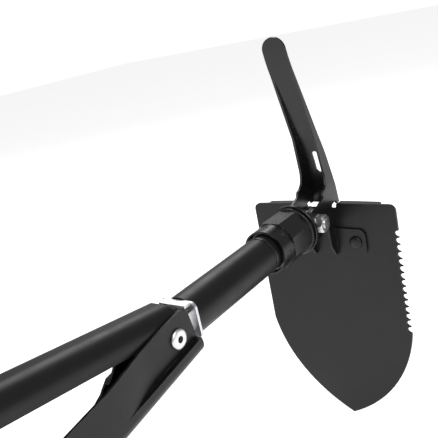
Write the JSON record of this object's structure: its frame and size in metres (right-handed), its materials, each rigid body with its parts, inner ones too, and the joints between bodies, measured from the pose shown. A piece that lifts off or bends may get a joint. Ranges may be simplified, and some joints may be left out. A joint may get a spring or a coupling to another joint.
{
  "type": "folding camp shovel",
  "caption": "Compact folding camp shovel: saw-edged pointed blade and curved pick on one bolt, screw locking collar, tubular shaft and split channel handle.",
  "frame": {"origin": "centre of the bounding box, at the height of its lowest point, which is the blade's tip", "axes": "+X along the tube towards the blade, +Y to the plain side of the blade, +Z towards the pick"},
  "size_m": [0.2946, 0.104, 0.2741],
  "materials": {
    "black_paint": "semi-gloss black powder coat",
    "black_steel": "glossy black enamel on pressed steel",
    "zinc": "bright zinc plate",
    "raw_steel": "oiled plain steel"
  },
  "bodies": {
    "shaft": {"tube": "black_paint", "end_plug": "raw_steel", "bracket_screw": "zinc", "handle_bracket": "zinc", "handle_pin": "zinc", "pin_spacer": "raw_steel", "pin_washers": "zinc", "head_block": "raw_steel", "head_pins": "raw_steel", "thread_sleeve": "raw_steel", "stop_ring": "black_steel", "pivot_bolt": "zinc", "pivot_nut": "zinc", "pivot_washers": "zinc", "pivot_spacers": "raw_steel"},
    "arm_lower": {"handle_arm_outer": "black_paint"},
    "arm_upper": {"handle_arm_inner": "black_paint"},
    "collar_slider": {"thrust_ring": "raw_steel"},
    "collar": {"locking_collar": "black_steel"},
    "pick": {"pick": "black_steel"},
    "blade": {"blade": "black_paint", "blade_bracket": "black_paint", "blade_rivets": "black_paint"}
  },
  "joints": [
    {"name": "pick_fold", "type": "hinge", "parent": "shaft", "child": "pick", "pos_m": [0.11537, 0, 0.16], "axis": [0, 1, 0], "range_deg": [-82, 0]},
    {"name": "blade_fold", "type": "hinge", "parent": "pick", "child": "blade", "pos_m": [0.11537, 0, 0.16], "axis": [0, 1, 0], "range_deg": [-8, 90]},
    {"name": "arm_lower_swing", "type": "hinge", "parent": "shaft", "child": "arm_lower", "pos_m": [-0.02513, 0, 0.161], "axis": [0, 1, 0], "range_deg": [-12, 9]},
    {"name": "arm_upper_swing", "type": "hinge", "parent": "shaft", "child": "arm_upper", "pos_m": [-0.02513, 0, 0.161], "axis": [0, -1, 0], "range_deg": [-12, 9]},
    {"name": "collar_travel", "type": "slide", "parent": "shaft", "child": "collar_slider", "axis": [1, 0, 0], "range_m": [-0.004, 0]},
    {"name": "collar_screw", "type": "hinge", "parent": "collar_slider", "child": "collar", "pos_m": [0, 0, 0.16], "axis": [1, 0, 0], "range_deg": [-720, 0]}
  ],
  "couplings": [
    {"joint": "collar_travel", "follows": "collar_screw", "m_per_rad": 0.00031831}
  ]
}
